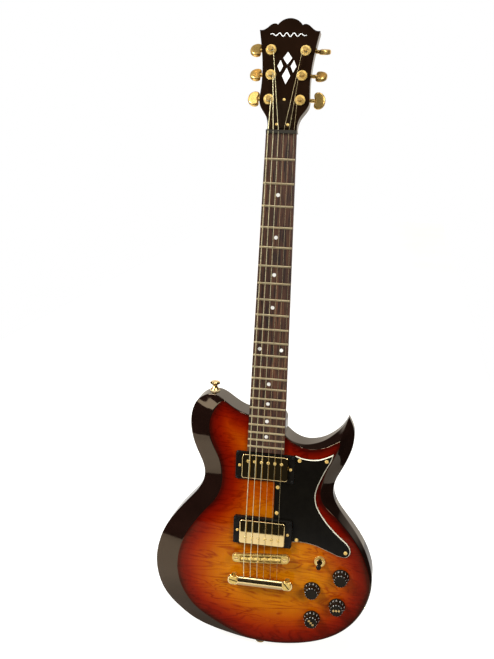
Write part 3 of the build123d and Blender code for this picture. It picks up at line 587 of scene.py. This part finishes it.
def shell_rings(rim, crease):
    """Rings from inside the crease, down the bevel and round the rim, to the flat of the back."""
    inward = crease[:, :2] - rim[:, :2]
    inward = np.c_[inward / np.linalg.norm(inward, axis=1, keepdims=True), np.zeros(len(rim))]
    slope = crease - rim
    slope_len = np.linalg.norm(slope, axis=1, keepdims=True)
    slope /= slope_len
    down = np.array([[0, 0, -1.0]])
    ease = np.minimum(CREASE_EASE, slope_len * CREASE_SHARE)
    soft = np.minimum(RIM_EASE, slope_len * RIM_SHARE)
    rings = round_corner(crease, inward * ease, -slope * ease, CREASE_STEPS)
    for t in BEVEL_RINGS:
        rings.append(crease - slope * (ease + (slope_len - ease - soft) * t))
    rings += round_corner(rim, slope * soft, down * soft)
    foot = rim.copy()
    foot[:, 2] = BODY_BACK
    for t in SIDE_RINGS:
        rings.append(rim + down * soft + (foot - rim) * t * SIDE_SPAN)
    for a in np.linspace(0, math.pi / 2, BACK_STEPS + 1):
        in_by, up_by = BACK_ROUND * (1 - math.cos(a)), BACK_ROUND * (1 - math.sin(a))
        rings.append(foot + inward * in_by - down * up_by)
    return rings


def cover_opening():
    """Edge of the back's hole for the control cover."""
    hull = convex_hull(drawn(nodes["control_cover"].data.vertices))
    spokes = hull - hull.mean(axis=0)
    return hull + spokes / np.linalg.norm(spokes, axis=1, keepdims=True) * COVER_GAP


def body_shell():
    rings = shell_rings(*rim_and_crease())
    n = len(rings[0])
    front_loop, back_loop = rings[0][:, :2], rings[-1][:, :2]
    front_holes = [rounded_box(*NECK_PICKUP, *PICKUP_POCKET), rounded_box(*BRIDGE_PICKUP, *PICKUP_POCKET),
                   circle(*SWITCH, SWITCH_HOLE)]
    front_holes += [circle(x, y, SHAFT_HOLE) for x, y in KNOBS]
    front_points, front_faces = fill(front_loop, front_holes, FRONT_SPACING)
    back_points, back_faces = fill(back_loop, [cover_opening()], BACK_SPACING)

    verts = np.concatenate([*rings, np.c_[front_points, np.zeros(len(front_points))],
                            np.c_[back_points, np.full(len(back_points), BODY_BACK)]])
    front_start = len(rings) * n
    back_start = front_start + len(front_points)
    faces = sleeve(0, len(rings), n)
    kinds = [FIGURED] * (BURST_BANDS * n) + [DARK] * (len(faces) - BURST_BANDS * n)
    faces += [tuple(front_start + i for i in f) for f in front_faces]
    kinds += [FIGURED] * len(front_faces)
    faces += [tuple(back_start + i for i in reversed(f)) for f in back_faces]
    kinds += [DARK] * len(back_faces)
    shell = new_mesh("body_shell", verts, faces, [BURST, LACQUER])
    mesh = shell.data
    mesh.polygons.foreach_set("material_index", kinds)
    flat = drawn(mesh.vertices)
    depth = distance_to(flat, front_loop) * np.where(inside(flat, front_loop), 1, 0)
    mesh.attributes.new("depth", "FLOAT", "POINT").data.foreach_set("value", depth)
    weld = bmesh.new()
    weld.from_mesh(mesh)
    bmesh.ops.remove_doubles(weld, verts=weld.verts, dist=WELD)
    bmesh.ops.recalc_face_normals(weld, faces=weld.faces)
    weld.to_mesh(mesh)
    weld.free()
    shell.modifiers.new("flat_faces_lead", "WEIGHTED_NORMAL").weight = 80
    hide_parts("top_cap", "body_back")


body_shell()

# ---- knobs: fluted caps with figures round the skirt ------------------------------------------------
# radius, height and depth of the flutes, from the skirt's foot to the middle of the top
KNOB_PROFILE = (
    (12.70, 0.9, 0), (12.74, 2.2, 0), (12.55, 2.6, 0), (12.2, 3.2, 0), (10.6, 7.6, 0), (10.3, 8.3, 0),
    (10.25, 8.9, 0.42), (10.0, 11.6, 0.42), (9.62, 14.3, 0.42), (9.45, 14.9, 0.42), (9.0, 15.3, 0.2),
    (8.6, 15.38, 0), (8.0, 15.38, 0), (7.7, 15.2, 0), (4.0, 15.12, 0),
)
SKIRT = KNOB_PROFILE[3:5]
KNOB_POINTS = 180
FLUTES = 30
KNOB_TURNS = (20, -35, 5, 40)             # degrees that each dial is turned from its middle
FIGURES, MIDDLE_FIGURE = 11, 5            # 0 to 10
FIGURE_STEP = 27.7                        # degrees
FIGURE_SIZE, FIGURE_WIDENING = 4.3, 1.1
PAINT = 0.07
EDGE_DASHES = 13
DASH_FOOT, DASH_HEAD = (9.66, 14.5), (8.75, 15.45)
DASH_HALF_ANGLE = 0.085


def fluted_knob(k, x, y):
    verts = []
    for r, z, flute in KNOB_PROFILE:
        for i in range(KNOB_POINTS):
            a = math.tau * i / KNOB_POINTS
            q = r - flute * max(0.0, math.cos(a * FLUTES)) ** 0.5
            verts.append((x + q * math.cos(a), y + q * math.sin(a), z))
    faces = sleeve(0, len(KNOB_PROFILE), KNOB_POINTS)
    last, middle = len(verts) - KNOB_POINTS, len(verts)
    verts.append((x, y, KNOB_PROFILE[-1][1]))
    faces += [(last + i, last + (i + 1) % KNOB_POINTS, middle) for i in range(KNOB_POINTS)]
    knob = new_mesh("fluted_knob_%d" % k, verts, faces, [KNOB_BLACK], body="dial_%d" % k)
    knob.modifiers.new("leading_faces", "WEIGHTED_NORMAL")


def glyph(text, size):
    """Outline triangles of one figure, centred: (x, y) points and faces."""
    curve = bpy.data.curves.new("figure", "FONT")
    curve.body = text
    curve.size = size
    curve.align_x = "CENTER"
    curve.align_y = "CENTER"
    obj = bpy.data.objects.new("figure", curve)
    mesh = bpy.data.meshes.new_from_object(obj)
    points = [(v.co.x, v.co.y) for v in mesh.vertices]
    faces = [tuple(f.vertices) for f in mesh.polygons]
    bpy.data.objects.remove(obj)
    bpy.data.curves.remove(curve)
    bpy.data.meshes.remove(mesh)
    return points, faces


def skirt_figures(k, x, y, turn):
    """The figures 0 to 10 painted on the skirt, and short white dashes round the cap's edge at the same
    spacing.
    """
    def place(r, z, a):
        return (x + r * math.cos(a), y + r * math.sin(a), z)

    (r0, z0, _), (r1, z1, _) = SKIRT
    slope = math.hypot(r1 - r0, z1 - z0)
    out_r, out_z = (z1 - z0) / slope, (r0 - r1) / slope
    angles = [math.radians(turn + 90 - FIGURE_STEP * (n - MIDDLE_FIGURE)) for n in range(EDGE_DASHES)]
    verts, faces = [], []
    for n in range(FIGURES):
        points, polygons = glyph(str(n), FIGURE_SIZE)
        start = len(verts)
        for u, v in points:
            t = 0.5 + v / slope
            r = r0 + (r1 - r0) * t + PAINT * out_r
            z = z0 + (z1 - z0) * t + PAINT * out_z
            verts.append(place(r, z, angles[n] - u * FIGURE_WIDENING / r))
        faces += [tuple(start + i for i in f) for f in polygons]
    for angle in angles:
        start = len(verts)
        for side, (r, z) in ((-1, DASH_FOOT), (1, DASH_FOOT), (1, DASH_HEAD), (-1, DASH_HEAD)):
            verts.append(place(r, z, angle + side * DASH_HALF_ANGLE))
        faces.append((start, start + 1, start + 2, start + 3))
    figures = new_mesh("dial_figures_%d" % k, verts, faces, [FIGURE_WHITE], body="dial_%d" % k, smooth=False)


for k, ((x, y), turn) in enumerate(zip(KNOBS, KNOB_TURNS), 1):
    fluted_knob(k, x, y)
    skirt_figures(k, x, y, turn)
for k in range(1, 5):
    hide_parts("knob_%d" % k)

# ---- three gold lozenges on the tops of the two lower dials -----------------------------------------
MARK_TURNS = ((3, 5), (4, -45))           # dial, degrees
MARK = lozenge(0, 0, 1.9, 2.3)
MARK_STEP = 4.2
MARK_LOW, MARK_HIGH = 15.13, 15.27


def dial_mark(k, angle):
    x, y = KNOBS[k - 1]
    along, up = MARK_STEP * math.cos(angle), MARK_STEP * math.sin(angle)
    marks = [turned(MARK, x + step * along, y + step * up, angle) for step in (-1, 0, 1)]
    prism("dial_mark_%d" % k, marks, MARK_LOW, MARK_HIGH, GOLD, FLAT, "dial_%d" % k)


for k, turn in MARK_TURNS:
    dial_mark(k, math.radians(turn))

# ---- painted shade in the slots of the tailpiece studs, as dark plates on their heads ---------------
STUD_SLOTS = ((-40.0, -11), (42.0, -50))  # x, degrees
STUD_Y = -38.2
STUD_SLOT = bar(6.2, 0.84)
STUD_SLOT_LOW, STUD_SLOT_HIGH = 17.1, 17.4

prism("stud_slots", [turned(STUD_SLOT, x, STUD_Y, math.radians(turn)) for x, turn in STUD_SLOTS],
      STUD_SLOT_LOW, STUD_SLOT_HIGH, SCREW_BLACK_AND_SLOT_SHADE, FLAT, "guitar")

# ---- pole screws standing just proud of the pickup covers -------------------------------------------
POLE_PITCH = 10.0
MIDDLE_POLE = 2.5                                                         # counted from the first, 0
POLE_PROFILE = ((2.35, -0.2), (2.35, 0.55), (2.0, 0.85), (1.2, 1.05))     # radius, height over the cover
POLE_POINTS = 24
POLE_TURNS = (0.4, 1.9, -0.5, 0.9, 0.1, 2.4)                              # radians
POLE_SLOT = bar(2, 0.3)
POLE_SLOT_LOW, POLE_SLOT_HIGH = 0.9, 1.1


def poles(name, x, y, top, body):
    """Six pole screws in a row, and dark plates on their heads that paint the shade in their slots."""
    places = [x + (k - MIDDLE_POLE) * POLE_PITCH for k in range(len(POLE_TURNS))]
    verts, faces = [], []
    for cx in places:
        start = len(verts)
        for r, rise in POLE_PROFILE:
            verts += [(px, py, top + rise) for px, py in circle(cx, y, r, POLE_POINTS)]
        faces += sleeve(start, len(POLE_PROFILE), POLE_POINTS)
        faces.append(tuple(range(len(verts) - POLE_POINTS, len(verts))))
    piece = new_mesh(name, verts, faces, [GOLD_FERRULE], body=body)
    # painted shade: dark plates over the heads stand for the shade inside the slots
    slots = [turned(POLE_SLOT, cx, y, turn) for cx, turn in zip(places, POLE_TURNS)]
    prism(name + "_slots", slots, top + POLE_SLOT_LOW, top + POLE_SLOT_HIGH, SCREW_BLACK_AND_SLOT_SHADE, FLAT, body)


# the row's middle x and y, and the height of the cover's top
poles("neck_poles", 0, 152.6, 6.4, "neck_pickup")
poles("bridge_poles", 0.4, 32.2, 12.0, "bridge_pickup")

# ---- headstock ornament: four lozenges and a waving line, in pearl ----------------------------------
ORNAMENT = [lozenge(0, 101.5, 6.2, 9.0), lozenge(-0.3, 76.3, 5.7, 11.5),
            lozenge(-9.6, 90.0, 4.0, 8.6), lozenge(9.0, 90.0, 4.0, 8.6)]
PEARL_LOW, PEARL_HIGH = -0.02, 0.06
LINE_START, LINE_LENGTH, LINE_Y = -27, 51, 134.6
LINE_WAVES, LINE_SWING = 5, 2.6
LINE_THIN, LINE_SWELL = 0.45, 0.75        # half widths: everywhere, and added on the steep stretches
LINE_STEPS = 60


def waving_line():
    """Short plates of a line that waves across the head and swells in its middle."""
    upper, lower = [], []
    for i in range(LINE_STEPS + 1):
        t = i / LINE_STEPS
        x = LINE_START + LINE_LENGTH * t
        wave = t * LINE_WAVES * math.tau
        y = LINE_Y + LINE_SWING * math.sin(wave) * math.sin(math.pi * t) ** 0.5
        w = LINE_THIN + LINE_SWELL * abs(math.cos(wave)) * math.sin(math.pi * t)
        upper.append((x, y + w))
        lower.append((x, y - w))
    return [[lower[i], lower[i + 1], upper[i + 1], upper[i]] for i in range(LINE_STEPS)]


prism("head_lozenges", ORNAMENT, PEARL_LOW, PEARL_HIGH, INLAY, FLAT @ HEAD, "guitar")
prism("head_flourish", waving_line(), PEARL_LOW, PEARL_HIGH, INLAY, FLAT @ HEAD, "guitar")

# ---- string windings on the posts -------------------------------------------------------------------
POSTS = ((24.2, 112.8), (21.9, 77.5), (21.9, 43.0))           # right-hand side, from the top down
POST_R = 3.0
POST_STRINGS = (2, 1, 0, 3, 4, 5)                             # the string that each post holds
STRING_R = (0.58, 0.46, 0.34, 0.23, 0.18, 0.15)
THICK_STRING = 0.3                                            # fewer turns above this radius
WINDING_TOP, WINDING_GAP = 5.0, 0.12
WINDING_STEPS = 20                                            # per turn
WINDING_SIDES = 8
CUT_END = (1.2, 3.4, 0.8)


def winding_path(side, px, py, r):
    """Centre line of the turns, going down the post, and of the short cut end."""
    turns = 3 if r > THICK_STRING else 4
    steps = turns * WINDING_STEPS
    reach = POST_R + r + WINDING_GAP
    path = []
    for i in range(steps + 1):
        a = math.tau * turns * i / steps + (0 if side < 0 else math.pi)
        rise = WINDING_TOP - 2 * r * turns * i / steps
        path.append(Vector((side * px + reach * math.cos(a), py + side * reach * math.sin(a), rise)))
    out, along, up = CUT_END
    path.append(path[-1] + Vector((side * out, along, up)))
    return path


def winding(k, side, px, py, r):
    """Turns of string round a post, with the short cut end standing out."""
    path = winding_path(side, px, py, r)
    verts = []
    for i, p in enumerate(path):
        along = (path[min(i + 1, len(path) - 1)] - path[max(i - 1, 0)]).normalized()
        across = along.cross(Vector((0, 0, 1))).normalized()
        other = along.cross(across)
        for j in range(WINDING_SIDES):
            a = math.tau * j / WINDING_SIDES
            verts.append(p + (across * math.cos(a) + other * math.sin(a)) * r)
    faces = sleeve(0, len(path), WINDING_SIDES)
    faces.append(tuple(range(WINDING_SIDES))[::-1])
    faces.append(tuple(range(len(verts) - WINDING_SIDES, len(verts))))
    coil = new_mesh("string_winding_%d" % k, verts, faces, [STRING], FLAT @ HEAD, "winding_post_%d" % k)


for k, string in enumerate(POST_STRINGS, 1):
    side = -1 if k <= len(POSTS) else 1
    px, py = POSTS[(k - 1) % len(POSTS)]
    winding(k, side, px, py, STRING_R[string])

# ---- smooth shading of the carried-over CAD solids --------------------------------------------------
for obj in nodes.values():
    if obj.data.polygons:
        obj.modifiers.new("leading_faces", "WEIGHTED_NORMAL").keep_sharp = True

# ---- stage, in metres -------------------------------------------------------------------------------
FLOOR_LEFT, FLOOR_RIGHT = -1.2, 0.48
FLOOR_FRONT, FLOOR_BACK = -0.44, 6.0
FLOOR_GAP = 0.0025                        # the guitar's end pin is held this far above the floor
FLOOR_GLOW, FLOOR_SEEN = 0.72, 1.5        # light that it gives off, and as the camera sees it

BODY_MIDDLE = (0, 0, 0.35)
# name, place, aim, width and height, watts
LAMPS = (
    ("key", (-2.1, -1.6, 2.3), BODY_MIDDLE, (1.0, 0.8), 110),
    ("fill", (1.9, -2.0, 1.7), BODY_MIDDLE, (1.0, 0.9), 55),
    ("window", (-1.30, -1.42, 0.50), (-0.1, 0, 0.38), (0.75, 0.22), 2.0),
    ("ceiling_left", (-1.5, -0.9, 2.8), BODY_MIDDLE, (0.4, 0.4), 14),
    ("ceiling_middle", (-0.35, -1.0, 3.0), BODY_MIDDLE, (0.6, 0.9), 6),
    ("ceiling_right", (0.8, -0.8, 3.0), BODY_MIDDLE, (0.3, 0.4), 10),
)

CAMERA_PLACE = (0.17535, -1.24372, 0.80299)
CAMERA_TILT, CAMERA_ROLL, CAMERA_TURN = 76.1997, -1.9177, 10.2452         # degrees
CAMERA_LENS, CAMERA_SENSOR = 48.47, 36                                    # mm


def floor_paint():
    """Pale paint that glows; painted shade dims both its colour and its glow right under the guitar, towards
    its front edge and away to the right.
    """
    s = Shader("floor_paint", Roughness=0.7, Specular_IOR_Level=0.1)
    pale = s.mix(s.levels(s.noise(3, 3), 0, 1), (0.64, 0.63, 0.61, 1), (0.62, 0.61, 0.59, 1))
    place = s.node("SeparateXYZ", {"Vector": s.coord}).outputs
    ragged = s.math("ADD", place["Y"], s.levels(s.noise(5, 3), -0.05, 0.05))
    front_fade = s.levels(ragged, 0.70, 1.15, -0.44, -0.28)
    side_fade = s.levels(place["X"], 1.0, 0.50, 0.02, 0.26)
    reach = s.math("ADD", s.math("POWER", place["X"], 2.0), s.math("POWER", place["Y"], 2.0))
    foot_fade = s.levels(reach, 0.35, 1.0, 0.012, 0.10)
    lit = s.math("MULTIPLY", s.math("MULTIPLY", front_fade, side_fade), foot_fade)
    # painted shade: where the floor is dimmed, the paint itself turns near black
    s.set("Base Color", s.mix(lit, (0.02, 0.02, 0.02, 1), pale)).set("Emission Color", pale)
    glow = s.math("MULTIPLY", lit, FLOOR_GLOW)
    seen = s.math("MULTIPLY", s.camera_ray(), FLOOR_SEEN)
    s.set("Emission Strength", s.math("MAXIMUM", glow, seen))
    return s.mat


def lay_floor():
    level = CAD_BOX[0][2] - FLOOR_GAP
    corners = ((FLOOR_LEFT, FLOOR_FRONT), (FLOOR_RIGHT, FLOOR_FRONT),
               (FLOOR_RIGHT, FLOOR_BACK), (FLOOR_LEFT, FLOOR_BACK))
    mesh = bpy.data.meshes.new("floor")
    mesh.from_pydata([(x, y, level) for x, y in corners], [], [(0, 1, 2, 3)])
    mesh.materials.append(floor_paint())
    floor = bpy.data.objects.new("floor", mesh)
    bpy.context.scene.collection.objects.link(floor)


def light_world():
    """White to the camera; as light, a warm glow from straight behind and a dim one from above."""
    world = bpy.data.worlds.new("studio")
    bpy.context.scene.world = world
    world.use_nodes = True
    w = Nodes(world.node_tree, "World", "Generated")
    direction = w.node("SeparateXYZ", {"Vector": w.coord}).outputs
    behind = w.levels(direction["Y"], 0.0, 1.0, 0.70, 0.86)
    above = w.levels(direction["Z"], 0.016, 0.034, 0.0, 0.8)
    light = w.node("Background", {"Strength": w.math("MAXIMUM", behind, above)}, Color=(1, 0.92, 0.80, 1))
    seen = w.node("Background", Color=(1, 1, 1, 1), Strength=1.0)
    both = w.node("MixShader", {0: w.camera_ray(), 1: light.outputs[0], 2: seen.outputs[0]})
    w.tree.links.new(both.outputs[0], w.out.inputs[0])


def hang_lamps():
    for name, place, aim, size, power in LAMPS:
        data = bpy.data.lights.new(name, "AREA")
        data.shape = "RECTANGLE"
        data.size, data.size_y = size
        data.energy = power
        lamp = bpy.data.objects.new(name, data)
        lamp.location = place
        lamp.rotation_euler = (Vector(aim) - Vector(place)).to_track_quat("-Z", "Y").to_euler()
        bpy.context.scene.collection.objects.link(lamp)


def place_camera():
    data = bpy.data.cameras.new("camera")
    data.sensor_width = CAMERA_SENSOR
    data.lens = CAMERA_LENS
    camera = bpy.data.objects.new("camera", data)
    angles = Euler([math.radians(a) for a in (CAMERA_TILT, CAMERA_ROLL, CAMERA_TURN)])
    camera.matrix_world = Matrix.LocRotScale(Vector(CAMERA_PLACE), angles, None)
    bpy.context.scene.collection.objects.link(camera)
    bpy.context.scene.camera = camera


lay_floor()
light_world()
hang_lamps()
place_camera()
bpy.context.scene.view_settings.view_transform = "Standard"
